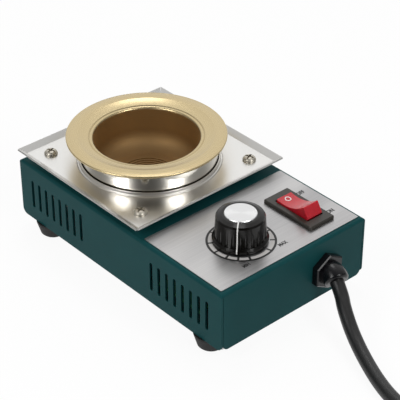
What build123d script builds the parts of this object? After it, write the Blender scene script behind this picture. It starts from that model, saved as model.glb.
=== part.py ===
from build123d import *
from math import cos, pi, radians, sin, sqrt
import os

# Solder pot: a folded steel case on four rubber feet, with a control panel at the
# front (-Y) and a heated crucible behind it (+Y). Lengths are in millimetres.
# The origin is on the surface it stands on, under the middle of the case.

# Case
case_length = 143.5
case_width = 87.0
case_height = 30.4
foot_height = 7.5
sheet = 1.0
bend_radius = 1.5
case_corner_radius = 3.0
seam_gap = 0.25
fit_gap = 0.15

# Vent slots in the long sides
slot_count = 8
slot_pitch = 5.3
slot_width = 1.9
slot_height = 15.2
slot_height_middle = 14.6
slot_group_end = 62.4

# Underside
base_sheet = 1.2
vent_hole = 4.0
vent_pitch = 8.0
foot_top_diameter = 16.0
foot_bottom_diameter = 12.6
foot_inset_x = 7.0
foot_inset_y = 14.3
foot_screw_diameter = 3.0
bracket_sheet = 1.2
bracket_height = 5.4
bracket_length = 12.0

# Heat deflector plate
plate_sheet = 0.8
plate_lift = 3.0
plate_fold = 41.15
plate_reach = 44.75
plate_rise = 2.2
collar_width = 1.1
collar_height = 0.6
collar_gap = 0.4
plate_screw_offset = 33.2
plate_screw_diameter = 4.0
plate_screw_head = 6.4
plate_screw_head_height = 1.9
plate_nut_flats = 7.0
plate_nut_height = 3.2

# Heater and crucible, on one vertical axis
shell_radius = 32.5
shell_lower_radius = 30.6
shell_wall = 0.7
shell_depth = 23.0
shell_shoulder = 3.8
insulator_radius = 32.6
running_gap = 0.3
stud_diameter = 5.0
stud_length = 9.0
strap_sheet = 1.2
strap_width = 14.0
crucible_radius = 37.9
crucible_opening = 50.2
crucible_wall = 1.6
crucible_depth = 21.4
crucible_floor = 1.5
crucible_play = 1.5
crucible_offset_x = -0.9
crucible_offset_y = 0.8
flange_height = 13.6
flange_lip = 2.4
flange_dish = 1.4
flange_edge = 1.4

# Control panel
label_half_width = 41.5
label_front = 69.3
label_back = 18.6
label_thickness = 0.4
knob_x = -10.0
knob_y = 24.75 - case_length / 2
knob_skirt_diameter = 25.4
knob_body_diameter = 23.0
knob_top_diameter = 22.2
knob_height = 13.7
knob_skirt_height = 2.0
knob_lift = 0.3
knob_flutes = 24
knob_disc_diameter = 14.8
shaft_diameter = 6.0
running_fit = 0.05
bushing_diameter = 7.0
dimmer_diameter = 16.8
dimmer_depth = 8.5

# Rocker switch
switch_x = 24.8
switch_y = 23.65 - case_length / 2
bezel_width = 15.2
bezel_length = 30.6
bezel_thickness = 1.8
neck_width = 12.8
neck_length = 27.6
neck_depth = 15.0
rocker_width = 8.9
rocker_crest_half = 8.7
rocker_foot_half = 10.5
rocker_height = 5.2
rocker_dish = 2.2
rocker_tilt = 14.0
rocker_gap = 0.3

# Cord and its gland in the front wall
gland_x = 18.7
gland_height = 14.2
gland_flats = 15.5
gland_flange = 3.4
gland_thread = 11.8
gland_nose_diameter = 11.6
gland_nose_straight = 2.4
gland_nose_slant = 3.8
gland_nose_bend = 6.6
cord_diameter = 6.5
coil_mean_diameter = 65.0
coil_layers_wide = 3
coil_layers_high = 2
plug_length = 34.0
plug_width = 25.0
plug_thickness = 16.0
blade_length = 17.0

# Heights worked out from the sizes above
case_bottom = foot_height
case_top = case_bottom + case_height
case_roof = case_top - sheet
inner_half_width = case_width / 2 - sheet
inner_half_length = case_length / 2 - sheet
base_top = case_bottom + base_sheet
plate_under = case_top + plate_lift
plate_top = plate_under + plate_sheet
pot_y = case_length / 2 - plate_reach
flange_under = case_top + flange_height
foot_x = case_width / 2 - foot_inset_x
foot_y = case_length / 2 - foot_inset_y
foot_places = [(-foot_x, -foot_y), (foot_x, -foot_y), (-foot_x, foot_y), (foot_x, foot_y)]
foot_names = ["front_left", "front_right", "back_left", "back_right"]
plate_screw_places = [(sx * plate_screw_offset, pot_y + sy * plate_screw_offset)
                      for sx in (-1, 1) for sy in (-1, 1)]
strap_angle = 135.0
strap_places = [plate_screw_places[1], plate_screw_places[2]]
plain_places = [plate_screw_places[0], plate_screw_places[3]]
label_top = case_top + label_thickness
gland_z = case_bottom + gland_height
shell_bottom = flange_under - shell_depth
collar_inner = insulator_radius + collar_gap
opening_radius = crucible_opening / 2
cup_radius = opening_radius + crucible_wall

os.makedirs("parts", exist_ok=True)


def write(name, part):
    part.label = name
    export_step(part, "parts/" + name + ".step")


# Case cover: one folded sheet, open below, with butted corner seams
with BuildPart() as case_cover:
    with BuildSketch(Plane.XY.offset(case_bottom)):
        Rectangle(case_width, case_length)
    extrude(amount=case_height)
    fillet(case_cover.edges().group_by(Axis.Z)[-1], bend_radius)
    with BuildSketch(Plane.XY.offset(case_bottom)):
        Rectangle(2 * inner_half_width, 2 * inner_half_length)
    extrude(amount=case_height - sheet, mode=Mode.SUBTRACT)
    with BuildSketch(Plane.XZ.offset(-case_length / 2 - 1)):
        seam_middle = case_bottom + (case_height - bend_radius) / 2 - 1
        with Locations(*[(side * (inner_half_width - seam_gap / 2), seam_middle) for side in (-1, 1)]):
            Rectangle(seam_gap, case_height - bend_radius + 2)
    extrude(amount=case_length + 2, mode=Mode.SUBTRACT)
    seam_corners = [edge for edge in case_cover.edges().group_by(Axis.Z)[0].filter_by(Axis.Y)
                    if edge.length < 2 * sheet and abs(edge.center().X) < inner_half_width - seam_gap / 2]
    fillet(seam_corners, case_corner_radius)
    side_corners = [edge for edge in case_cover.edges().group_by(Axis.Z)[0].filter_by(Axis.X)
                    if edge.length < 2 * sheet]
    fillet(side_corners, case_corner_radius)
    with BuildSketch(Plane.YZ.offset(-case_width / 2 - 1)):
        for side in (-1, 1):
            for index in range(slot_count):
                with Locations((side * (slot_group_end - index * slot_pitch), case_bottom + slot_height_middle)):
                    SlotOverall(slot_height, slot_width, rotation=90)
    extrude(amount=case_width + 2, mode=Mode.SUBTRACT)
    with BuildSketch(Plane.XY.offset(case_roof - 1)):
        with Locations((0, pot_y)):
            Circle(shell_lower_radius + running_gap + 0.5)
        with Locations((knob_x, knob_y)):
            Circle(bushing_diameter / 2 + fit_gap)
        with Locations((switch_x, switch_y)):
            Rectangle(neck_width + 2 * fit_gap, neck_length + 2 * fit_gap)
        with Locations(*plate_screw_places):
            Circle(plate_screw_diameter / 2 + fit_gap)
    extrude(amount=sheet + 2, mode=Mode.SUBTRACT)
    with BuildSketch(Plane.XZ.offset(case_length / 2 + 1)):
        with Locations((gland_x, gland_z)):
            Circle(gland_thread / 2 + fit_gap)
    extrude(amount=-sheet - 2, mode=Mode.SUBTRACT)
write("case_cover", case_cover.part)

# Base plate: a flat sheet between the walls, with vent holes
board_x = -18.0
board_y = -26.0
board_width = 40.0
board_length = 52.0
standoff_height = 5.0
board_holes = [(board_x + sx * (board_width / 2 - 4), board_y + sy * (board_length / 2 - 4))
               for sx in (-1, 1) for sy in (-1, 1)]
block_x = 22.0
block_y = -20.0
earth_x = -22.0
earth_y = 64.0
with BuildPart() as base_plate:
    with BuildSketch(Plane.XY.offset(case_bottom)):
        RectangleRounded(2 * (inner_half_width - fit_gap), 2 * (inner_half_length - fit_gap), 1.0)
        with Locations(*foot_places):
            Circle(foot_screw_diameter / 2 + fit_gap, mode=Mode.SUBTRACT)
        with Locations(*board_holes, (block_x, block_y), (earth_x, earth_y)):
            Circle(foot_screw_diameter / 2 + fit_gap, mode=Mode.SUBTRACT)
        with Locations((0, pot_y)):
            with GridLocations(vent_pitch, vent_pitch, 5, 5):
                Circle(vent_hole / 2, mode=Mode.SUBTRACT)
    extrude(amount=base_sheet)
write("base_plate", base_plate.part)

# Corner brackets, welded to the long walls, that take the foot screws
with BuildPart() as corner_brackets:
    for x, y in foot_places:
        side = 1 if x > 0 else -1
        wall = side * inner_half_width
        with BuildSketch(Plane.XZ.offset(-y - bracket_length / 2)):
            with BuildLine():
                Polyline((wall, base_top), (wall, base_top + bracket_height),
                         (wall - side * bracket_sheet, base_top + bracket_height),
                         (wall - side * bracket_sheet, base_top + bracket_sheet),
                         (wall - side * bracket_length, base_top + bracket_sheet),
                         (wall - side * bracket_length, base_top), close=True)
            make_face()
        extrude(amount=bracket_length)
    with BuildSketch(Plane.XY.offset(base_top - 1)):
        with Locations(*foot_places):
            Circle(foot_screw_diameter / 2)
    extrude(amount=bracket_sheet + 2, mode=Mode.SUBTRACT)
write("corner_brackets", corner_brackets.part)

# Rubber feet: turned cones with a recess for the screw head
foot_recess = 3.6
for name, (x, y) in zip(foot_names, foot_places):
    with BuildPart() as foot:
        with BuildSketch(Plane.XZ.offset(-y)):
            with BuildLine():
                Polyline((x, 0), (x + foot_bottom_diameter / 2 - 0.8, 0), (x + foot_bottom_diameter / 2, 0.8),
                         (x + foot_top_diameter / 2, foot_height - 0.8),
                         (x + foot_top_diameter / 2, foot_height), (x, foot_height), close=True)
            make_face()
        revolve(axis=Axis((x, y, 0), (0, 0, 1)))
        with Locations((x, y, 0)):
            with Locations(Plane.XY.rotated((180, 0, 0))):
                CounterBoreHole(foot_screw_diameter / 2 + fit_gap, 3.4, foot_recess, foot_height)
    write("foot_" + name, foot.part)

# Foot screws: pan heads in the recesses, shanks up through the brackets
with BuildPart() as foot_screws:
    with BuildSketch(Plane.XY.offset(foot_recess - 2.0)):
        with Locations(*foot_places):
            Circle(2.8)
    extrude(amount=2.0)
    with BuildSketch(Plane.XY.offset(foot_recess)):
        with Locations(*foot_places):
            Circle(foot_screw_diameter / 2)
    extrude(amount=base_top + bracket_sheet + 1.5 - foot_recess)
    with BuildSketch(Plane.XY.offset(foot_recess - 2.0)):
        with Locations(*foot_places):
            Rectangle(3.2, 0.7)
            Rectangle(0.7, 3.2)
    extrude(amount=1.0, mode=Mode.SUBTRACT)
write("foot_screws", foot_screws.part)

# Control label: a thin brushed plate round the knob and the switch
label_y = -(label_front + label_back) / 2
with BuildPart() as control_label:
    with BuildSketch(Plane.XY.offset(case_top)):
        with Locations((0, label_y)):
            RectangleRounded(2 * label_half_width, label_front - label_back, 0.6)
        with Locations((knob_x, knob_y)):
            Circle(bushing_diameter / 2 + fit_gap, mode=Mode.SUBTRACT)
        with Locations((switch_x, switch_y)):
            Rectangle(neck_width + 2 * fit_gap, neck_length + 2 * fit_gap, mode=Mode.SUBTRACT)
    extrude(amount=label_thickness)
write("control_label", control_label.part)

# Deflector plate: a square sheet with four flanges turned up and out, mitred
# with open corners, and a drawn collar round the heater
mitre_gap = 0.2
with BuildPart() as deflector_plate:
    with BuildSketch(Plane.XY.offset(plate_under)):
        with Locations((0, pot_y)):
            Rectangle(2 * plate_fold, 2 * plate_fold)
    extrude(amount=plate_sheet)
    for turn in range(4):
        flange_plane = Plane((0, pot_y, 0), x_dir=(1, 0, 0), z_dir=(0, 0, 1)).rotated((0, 0, 90 * turn))
        side_plane = Plane(flange_plane.origin, x_dir=flange_plane.x_dir, z_dir=-flange_plane.y_dir)
        with BuildSketch(side_plane.offset(-plate_reach)):
            with BuildLine():
                Polyline((plate_fold, plate_under), (plate_reach, plate_under + plate_rise),
                         (plate_reach - 0.45, plate_top + plate_rise - 0.1),
                         (plate_fold, plate_top), close=True)
            make_face()
        extrude(amount=2 * plate_reach)
    with BuildSketch(Plane.XY.offset(plate_under - 1)):
        with Locations((0, pot_y)):
            for turn in range(4):
                with Locations(Rotation(0, 0, 45 + 90 * turn)):
                    with Locations((sqrt(2) * (plate_fold + plate_reach) / 2 + 1, 0)):
                        Rectangle(sqrt(2) * (plate_reach - plate_fold) + 3, mitre_gap)
    extrude(amount=plate_rise + 3, mode=Mode.SUBTRACT)
    with BuildSketch(Plane.XY.offset(plate_under)):
        with Locations((0, pot_y)):
            Circle(collar_inner + collar_width)
    extrude(amount=plate_sheet + collar_height)
    with BuildSketch(Plane.XY.offset(plate_under - 1)):
        with Locations((0, pot_y)):
            Circle(collar_inner)
        with Locations(*plate_screw_places):
            Circle(plate_screw_diameter / 2 + fit_gap)
    extrude(amount=plate_sheet + collar_height + 2, mode=Mode.SUBTRACT)
write("deflector_plate", deflector_plate.part)

# Spacers, screws and nuts that hold the deflector plate off the case
with BuildPart() as plate_spacers:
    with BuildSketch(Plane.XY.offset(case_top)):
        with Locations(*plate_screw_places):
            Circle(plate_screw_diameter / 2 + 2)
            Circle(plate_screw_diameter / 2 + fit_gap, mode=Mode.SUBTRACT)
    extrude(amount=plate_lift)
write("plate_spacers", plate_spacers.part)

plate_screw_end = case_roof - strap_sheet - plate_nut_height - 1.0
with BuildPart() as plate_screws:
    for x, y in plate_screw_places:
        with BuildSketch(Plane.XZ.offset(-y)):
            with BuildLine():
                outer = x + plate_screw_head / 2
                Line((x, plate_top), (outer, plate_top))
                Line((outer, plate_top), (outer, plate_top + 0.7))
                ThreePointArc((outer, plate_top + 0.7), (x + plate_screw_head / 3, plate_top + 1.95),
                              (x, plate_top + plate_screw_head_height))
                Line((x, plate_top + plate_screw_head_height), (x, plate_top))
            make_face()
        revolve(axis=Axis((x, y, 0), (0, 0, 1)))
    with BuildSketch(Plane.XY.offset(plate_screw_end)):
        with Locations(*plate_screw_places):
            Circle(plate_screw_diameter / 2)
    extrude(amount=plate_top - plate_screw_end)
    with BuildSketch(Plane.XY.offset(plate_top + 1.0)):
        with Locations(*plate_screw_places):
            Rectangle(4.2, 0.9, rotation=20)
            Rectangle(0.9, 4.2, rotation=20)
    extrude(amount=plate_screw_head_height, mode=Mode.SUBTRACT)
write("plate_screws", plate_screws.part)

with BuildPart() as plate_nuts:
    for places, seat in ((plain_places, case_roof), (strap_places, case_roof - strap_sheet)):
        with BuildSketch(Plane.XY.offset(seat - plate_nut_height)):
            with Locations(*places):
                RegularPolygon(plate_nut_flats / 2, 6, major_radius=False)
                Circle(plate_screw_diameter / 2, mode=Mode.SUBTRACT)
        extrude(amount=plate_nut_height)
write("plate_nuts", plate_nuts.part)


# Heater shell: a spun cup with a shoulder that sits on the insulating ring
def shell_outline(inset):
    upper = shell_radius - inset
    lower = shell_lower_radius - inset
    bottom = shell_bottom + inset
    shoulder = case_top + shell_shoulder + inset
    bulge = shoulder + 3.2
    Line((0, bottom), (lower - 4, bottom))
    ThreePointArc((lower - 4, bottom), (lower - 4 + 4 * sin(pi / 4), bottom + 4 - 4 * cos(pi / 4)),
                  (lower, bottom + 4))
    Line((lower, bottom + 4), (lower, shoulder))
    ThreePointArc((lower, shoulder), (upper - 0.5, shoulder + 1.3), (upper, bulge))
    Line((upper, bulge), (upper, flange_under))
    Line((upper, flange_under), (0, flange_under))
    Line((0, flange_under), (0, bottom))


pot_axis = Axis((0, pot_y, 0), (0, 0, 1))
pot_plane = Plane.XZ.offset(-pot_y)
lead_places = [(-15.0, pot_y - 13.0), (-7.0, pot_y - 19.0)]
with BuildPart() as heater_shell:
    with BuildSketch(pot_plane):
        with BuildLine():
            shell_outline(0)
        make_face()
    revolve(axis=pot_axis)
    with BuildSketch(pot_plane):
        with BuildLine():
            shell_outline(shell_wall)
        make_face()
    revolve(axis=pot_axis, mode=Mode.SUBTRACT)
    with BuildSketch(Plane.XY.offset(shell_bottom - 1)):
        with Locations((0, pot_y)):
            Circle(stud_diameter / 2 + fit_gap)
        with Locations(*lead_places):
            Circle(2.4)
    extrude(amount=shell_wall + 2, mode=Mode.SUBTRACT)
write("heater_shell", heater_shell.part)

with BuildPart() as insulating_ring:
    with BuildSketch(Plane.XY.offset(case_top)):
        with Locations((0, pot_y)):
            Circle(insulator_radius)
            Circle(shell_lower_radius + running_gap, mode=Mode.SUBTRACT)
    extrude(amount=shell_shoulder)
write("insulating_ring", insulating_ring.part)

# Heating element: a ceramic band between the crucible's cup and the shell
element_inner = cup_radius + crucible_play
element_outer = shell_lower_radius - shell_wall - running_gap
element_bottom = shell_bottom + shell_wall + 3.5
with BuildPart() as heater_element:
    with BuildSketch(Plane.XY.offset(element_bottom)):
        with Locations((0, pot_y)):
            Circle(element_outer)
            Circle(element_inner, mode=Mode.SUBTRACT)
    extrude(amount=flange_under - 2.5 - element_bottom)
    with BuildSketch(Plane.XY.offset(element_bottom + 3)):
        with Locations((0, pot_y)):
            with PolarLocations(element_outer, 24):
                Rectangle(1.2, 2.2)
    extrude(amount=flange_under - 8.5 - element_bottom, mode=Mode.SUBTRACT)
write("heater_element", heater_element.part)

# Stud, strap and nut that clamp the shell down from inside the case
strap_top = shell_bottom
with BuildPart() as heater_stud:
    with BuildSketch(Plane.XY.offset(shell_bottom + shell_wall)):
        with Locations((0, pot_y)):
            Circle(4.5)
    extrude(amount=1.5)
    with BuildSketch(Plane.XY.offset(shell_bottom - stud_length)):
        with Locations((0, pot_y)):
            Circle(stud_diameter / 2)
    extrude(amount=stud_length + shell_wall)
write("heater_stud", heater_stud.part)

strap_reach = sqrt(2) * plate_screw_offset
strap_plane = Plane((0, pot_y, 0), x_dir=(cos(radians(strap_angle)), sin(radians(strap_angle)), 0),
                    z_dir=(sin(radians(strap_angle)), -cos(radians(strap_angle)), 0))
tab_end = strap_reach + 5.0
tab_start = strap_reach - 4.5
arm_foot = shell_lower_radius + 2.0
with BuildPart() as heater_strap:
    with BuildSketch(strap_plane.offset(-strap_width / 2)):
        with BuildLine():
            upper_points = [(-tab_end, case_roof), (-tab_start, case_roof), (-arm_foot, strap_top),
                            (arm_foot, strap_top), (tab_start, case_roof), (tab_end, case_roof)]
            lower_points = [(tab_end, case_roof - strap_sheet), (tab_start + 0.7, case_roof - strap_sheet),
                            (arm_foot + 0.7, strap_top - strap_sheet),
                            (-arm_foot - 0.7, strap_top - strap_sheet),
                            (-tab_start - 0.7, case_roof - strap_sheet), (-tab_end, case_roof - strap_sheet)]
            Polyline(*upper_points, *lower_points, close=True)
        make_face()
    extrude(amount=strap_width)
    with BuildSketch(Plane.XY.offset(strap_top - strap_sheet - 1)):
        with Locations((0, pot_y)):
            Circle(stud_diameter / 2 + fit_gap)
        with Locations(*strap_places):
            Circle(plate_screw_diameter / 2 + fit_gap)
    extrude(amount=case_height, mode=Mode.SUBTRACT)
write("heater_strap", heater_strap.part)

with BuildPart() as heater_nut:
    with BuildSketch(Plane.XY.offset(strap_top - strap_sheet - 4.0)):
        with Locations((0, pot_y)):
            RegularPolygon(4.0, 6, major_radius=False)
            Circle(stud_diameter / 2, mode=Mode.SUBTRACT)
    extrude(amount=4.0)
write("heater_nut", heater_nut.part)

# Crucible: a turned cup that rests in the heater by its flange, a little off centre.
# The flange is dished towards the mouth and has a thin rolled edge; rings are turned in the floor
land_height = flange_under + flange_lip
crest_height = land_height + flange_dish
cup_floor = land_height - crucible_depth
cup_under = cup_floor - crucible_floor
floor_radius = 9.0
lip_round = 1.2
outer_floor_radius = 8.0
crucible_x = crucible_offset_x
crucible_y = pot_y + crucible_offset_y
crucible_axis = Axis((crucible_x, crucible_y, 0), (0, 0, 1))


def round_corner(centre, radius, start, end):
    CenterArc(centre, radius, start, end - start)


with BuildPart() as crucible:
    with BuildSketch(Plane((crucible_x, crucible_y, 0), x_dir=(1, 0, 0), z_dir=(0, -1, 0))):
        with BuildLine():
            Line((0, cup_under), (cup_radius - outer_floor_radius, cup_under))
            round_corner((cup_radius - outer_floor_radius, cup_under + outer_floor_radius),
                         outer_floor_radius, 270, 360)
            Line((cup_radius, cup_under + outer_floor_radius), (cup_radius, flange_under))
            Polyline((cup_radius, flange_under), (shell_radius + 1.6, flange_under),
                     (crucible_radius - 0.5, crest_height - flange_edge))
            ThreePointArc((crucible_radius - 0.5, crest_height - flange_edge),
                          (crucible_radius, crest_height - flange_edge + 0.5),
                          (crucible_radius - 0.9, crest_height - 0.3))
            ThreePointArc((crucible_radius - 0.9, crest_height - 0.3),
                          (crucible_radius - 3.4, crest_height + 0.05),
                          (crucible_radius - 5.7, crest_height - 0.1))
            ThreePointArc((crucible_radius - 5.7, crest_height - 0.1),
                          (opening_radius + 4.2, land_height + 0.45),
                          (opening_radius + 2.3, land_height + 0.1))
            Polyline((opening_radius + 2.3, land_height + 0.1), (opening_radius + 1.9, land_height - 0.2),
                     (opening_radius + 1.5, land_height), (opening_radius + lip_round, land_height))
            round_corner((opening_radius + lip_round, land_height - lip_round), lip_round, 90, 180)
            Line((opening_radius, land_height - lip_round), (opening_radius, cup_floor + floor_radius))
            round_corner((opening_radius - floor_radius, cup_floor + floor_radius), floor_radius, 0, -90)
            Polyline((opening_radius - floor_radius, cup_floor), (0, cup_floor), (0, cup_under))
        make_face()
    revolve(axis=crucible_axis)
    with BuildSketch(Plane.XY.offset(cup_floor)):
        with Locations((crucible_x, crucible_y)):
            for ring in (13.8, 12.0, 10.2, 8.4):
                Circle(ring)
                Circle(ring - 1.0, mode=Mode.SUBTRACT)
    extrude(amount=0.5)
write("crucible", crucible.part)

# Dimmer under the panel: body, washer, nut, soldering tags and the shaft that turns
dimmer_bottom = case_roof - dimmer_depth
bushing_top = label_top + 3.6
with BuildPart() as dimmer_body:
    with BuildSketch(Plane.XY.offset(dimmer_bottom)):
        with Locations((knob_x, knob_y)):
            Circle(dimmer_diameter / 2)
        with Locations((knob_x, knob_y - dimmer_diameter / 2)):
            Rectangle(12.0, 6.0)
    extrude(amount=dimmer_depth)
    with BuildSketch(Plane.XY.offset(case_roof)):
        with Locations((knob_x, knob_y)):
            Circle(bushing_diameter / 2)
    extrude(amount=bushing_top - case_roof)
    with BuildSketch(Plane.XY.offset(dimmer_bottom + 1.5)):
        with Locations((knob_x, knob_y)):
            Circle(shaft_diameter / 2 + running_fit)
    extrude(amount=case_height, mode=Mode.SUBTRACT)
write("dimmer_body", dimmer_body.part)

with BuildPart() as dimmer_tags:
    with BuildSketch(Plane.XY.offset(dimmer_bottom - 5.0)):
        with Locations((knob_x, knob_y - dimmer_diameter / 2 - 1.5)):
            with GridLocations(4.0, 1, 3, 1):
                Rectangle(1.6, 0.5)
    extrude(amount=5.0)
write("dimmer_tags", dimmer_tags.part)

with BuildPart() as dimmer_nut:
    with BuildSketch(Plane.XY.offset(label_top)):
        with Locations((knob_x, knob_y)):
            Circle(5.6)
            Circle(bushing_diameter / 2 + running_fit, mode=Mode.SUBTRACT)
    extrude(amount=0.5)
    with BuildSketch(Plane.XY.offset(label_top + 0.5)):
        with Locations((knob_x, knob_y)):
            RegularPolygon(5.0, 6, major_radius=False)
            Circle(bushing_diameter / 2 + running_fit, mode=Mode.SUBTRACT)
    extrude(amount=2.0)
write("dimmer_nut", dimmer_nut.part)

knob_bottom = label_top + knob_lift
knob_top = knob_bottom + knob_height
shaft_top = knob_top - 3.0
flat_depth = 1.5
with BuildPart() as dimmer_shaft:
    with BuildSketch(Plane.XY.offset(dimmer_bottom + 1.5 + running_gap)):
        with Locations((knob_x, knob_y)):
            Circle(shaft_diameter / 2)
    extrude(amount=shaft_top - dimmer_bottom - 1.5 - running_gap)
    with BuildSketch(Plane.XY.offset(bushing_top + 0.6)):
        with Locations((knob_x, knob_y + shaft_diameter / 2 - flat_depth / 2)):
            Rectangle(shaft_diameter, flat_depth)
    extrude(amount=shaft_top - bushing_top, mode=Mode.SUBTRACT)
write("dimmer_shaft", dimmer_shaft.part)

# Knob: skirt, fluted and slightly tapered body, hollow below for the nut
nut_room = 7.2
nut_room_height = bushing_top + 0.6 - knob_bottom
disc_recess = 0.9
with BuildPart() as knob:
    with BuildSketch(Plane.XZ.offset(-knob_y)):
        with BuildLine():
            Polyline((knob_x, knob_bottom), (knob_x + knob_skirt_diameter / 2 - 0.3, knob_bottom),
                     (knob_x + knob_skirt_diameter / 2, knob_bottom + 0.3),
                     (knob_x + knob_skirt_diameter / 2, knob_bottom + knob_skirt_height - 0.5),
                     (knob_x + knob_body_diameter / 2 + 0.3, knob_bottom + knob_skirt_height + 0.3),
                     (knob_x + knob_top_diameter / 2, knob_top - 1.6),
                     (knob_x + knob_top_diameter / 2 - 0.5, knob_top - 0.7),
                     (knob_x + knob_disc_diameter / 2 + 1.2, knob_top),
                     (knob_x, knob_top), close=True)
        make_face()
    revolve(axis=Axis((knob_x, knob_y, 0), (0, 0, 1)))
    with BuildSketch(Plane.XY.offset(knob_bottom + knob_skirt_height + 0.4)):
        with Locations((knob_x, knob_y)):
            with PolarLocations(knob_body_diameter / 2 + 0.9, knob_flutes):
                Circle(1.15)
    extrude(amount=knob_height - knob_skirt_height - 2.4, mode=Mode.SUBTRACT)
    with BuildSketch(Plane.XY.offset(knob_top - disc_recess)):
        with Locations((knob_x, knob_y)):
            Circle(knob_disc_diameter / 2 + 0.05)
    extrude(amount=disc_recess + 1, mode=Mode.SUBTRACT)
    with BuildSketch(Plane.XY.offset(knob_bottom - 1)):
        with Locations((knob_x, knob_y)):
            Circle(nut_room)
    extrude(amount=nut_room_height + 1, mode=Mode.SUBTRACT)
    with BuildSketch(Plane.XY.offset(knob_bottom)):
        with Locations((knob_x, knob_y)):
            Circle(shaft_diameter / 2 + 0.02)
            with Locations((0, shaft_diameter / 2 - flat_depth / 2 + 0.02)):
                Rectangle(shaft_diameter + 1, flat_depth, mode=Mode.SUBTRACT)
    extrude(amount=shaft_top + 0.02 - knob_bottom, mode=Mode.SUBTRACT)
write("knob", knob.part)

with BuildPart() as knob_disc:
    with BuildSketch(Plane.XY.offset(knob_top - disc_recess)):
        with Locations((knob_x, knob_y)):
            Circle(knob_disc_diameter / 2)
    extrude(amount=disc_recess + 0.3)
    chamfer(knob_disc.edges().group_by(Axis.Z)[-1], 0.25)
write("knob_disc", knob_disc.part)

# Rocker switch: bezel and housing in one moulding, open above for the rocker
bezel_top = label_top + bezel_thickness
pivot_z = label_top + 0.2
pin_radius = 1.2
well_width = rocker_width + 2 * rocker_gap
rocker_foot_drop = 0.4
swing_reach = sqrt(rocker_foot_half ** 2 + rocker_foot_drop ** 2)
well_half_length = swing_reach + rocker_gap
well_floor = pivot_z - 8.0
neck_bottom = label_top - neck_depth
with BuildPart() as switch_housing:
    with BuildSketch(Plane.XY.offset(label_top)):
        with Locations((switch_x, switch_y)):
            RectangleRounded(bezel_width, bezel_length, 1.0)
    extrude(amount=bezel_thickness)
    chamfer(switch_housing.edges().group_by(Axis.Z)[-1], 0.5)
    with BuildSketch(Plane.XY.offset(neck_bottom)):
        with Locations((switch_x, switch_y)):
            Rectangle(neck_width, neck_length)
    extrude(amount=neck_depth)
    with BuildSketch(Plane.XY.offset(well_floor)):
        with Locations((switch_x, switch_y)):
            Rectangle(well_width, 2 * well_half_length)
    extrude(amount=bezel_top - well_floor + 1, mode=Mode.SUBTRACT)
    with BuildSketch(Plane.YZ.offset(switch_x - well_width / 2 - 1.0)):
        with Locations((switch_y, pivot_z)):
            Circle(pin_radius + running_fit)
    extrude(amount=well_width + 2.0, mode=Mode.SUBTRACT)
write("switch_housing", switch_housing.part)

with BuildPart() as switch_tags:
    with BuildSketch(Plane.XY.offset(neck_bottom - 6.0)):
        with Locations((switch_x, switch_y)):
            with GridLocations(7.0, 14.0, 2, 2):
                Rectangle(0.8, 4.8)
    extrude(amount=6.0)
write("switch_tags", switch_tags.part)


# Rocker at rest in its OFF tilt: far end down, near end raised, on moulded pins
def rocker_point(along, up):
    turn = radians(rocker_tilt)
    return (switch_y + along * cos(turn) + up * sin(turn), pivot_z - along * sin(turn) + up * cos(turn))


with BuildPart() as switch_rocker:
    with BuildSketch(Plane.YZ.offset(switch_x - rocker_width / 2)):
        with BuildLine():
            belly_half = 6.5
            belly_drop = 4.6
            Polyline(rocker_point(-rocker_crest_half, rocker_height),
                     rocker_point(-rocker_foot_half, -rocker_foot_drop),
                     rocker_point(-belly_half, -belly_drop), rocker_point(belly_half, -belly_drop),
                     rocker_point(rocker_foot_half, -rocker_foot_drop),
                     rocker_point(rocker_crest_half, rocker_height))
            ThreePointArc(rocker_point(rocker_crest_half, rocker_height),
                          rocker_point(0, rocker_height - rocker_dish),
                          rocker_point(-rocker_crest_half, rocker_height))
        make_face()
    extrude(amount=rocker_width)
    fillet(switch_rocker.edges().filter_by(Axis.X).sort_by(Axis.Z)[-1], 0.5)
    with BuildSketch(Plane.YZ.offset(switch_x - well_width / 2 - 0.8)):
        with Locations((switch_y, pivot_z)):
            Circle(pin_radius)
    extrude(amount=well_width + 1.6)
write("switch_rocker", switch_rocker.part)

# Cord gland in the front wall: hexagon flange with its thread, nose and locknut
wall_front = case_length / 2
gland_plane = Plane((gland_x, -wall_front, gland_z), x_dir=(1, 0, 0), z_dir=(0, -1, 0))
flange_front = -wall_front - gland_flange
cord_bore = cord_diameter / 2 + running_fit
with BuildPart() as gland_body:
    with BuildSketch(gland_plane):
        RegularPolygon(gland_flats / 2, 6, major_radius=False, rotation=30)
    extrude(amount=gland_flange)
    chamfer(gland_body.edges().group_by(Axis.Y)[0], 0.5)
    with BuildSketch(gland_plane.offset(-sheet - 5.0)):
        Circle(gland_thread / 2)
    extrude(amount=sheet + 5.0)
    with BuildSketch(gland_plane.offset(-sheet - 6.0)):
        Circle(cord_bore)
    extrude(amount=gland_flange + sheet + 7.0, mode=Mode.SUBTRACT)
write("gland_body", gland_body.part)

# Nose of the gland: it bends the cord down towards the surface
slant = Vector(-0.30, -0.80, -0.52).normalized()
nose_corner = Vector(gland_x, flange_front - gland_nose_straight, gland_z)
nose_tip = nose_corner + slant * gland_nose_slant
nose_bore_depth = 1.0
with BuildPart() as gland_nose:
    with BuildLine() as nose_path:
        FilletPolyline((gland_x, flange_front, gland_z), tuple(nose_corner), tuple(nose_tip),
                       radius=gland_nose_bend)
    with BuildSketch(gland_plane.offset(gland_flange)):
        Circle(gland_nose_diameter / 2)
    sweep(path=nose_path.wires()[0])
    fillet(gland_nose.faces().sort_by(Axis.Y)[0].edges(), 1.5)
    with BuildSketch(gland_plane.offset(gland_flange)):
        Circle(cord_bore)
    extrude(amount=nose_bore_depth, mode=Mode.SUBTRACT)
write("gland_nose", gland_nose.part)

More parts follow.
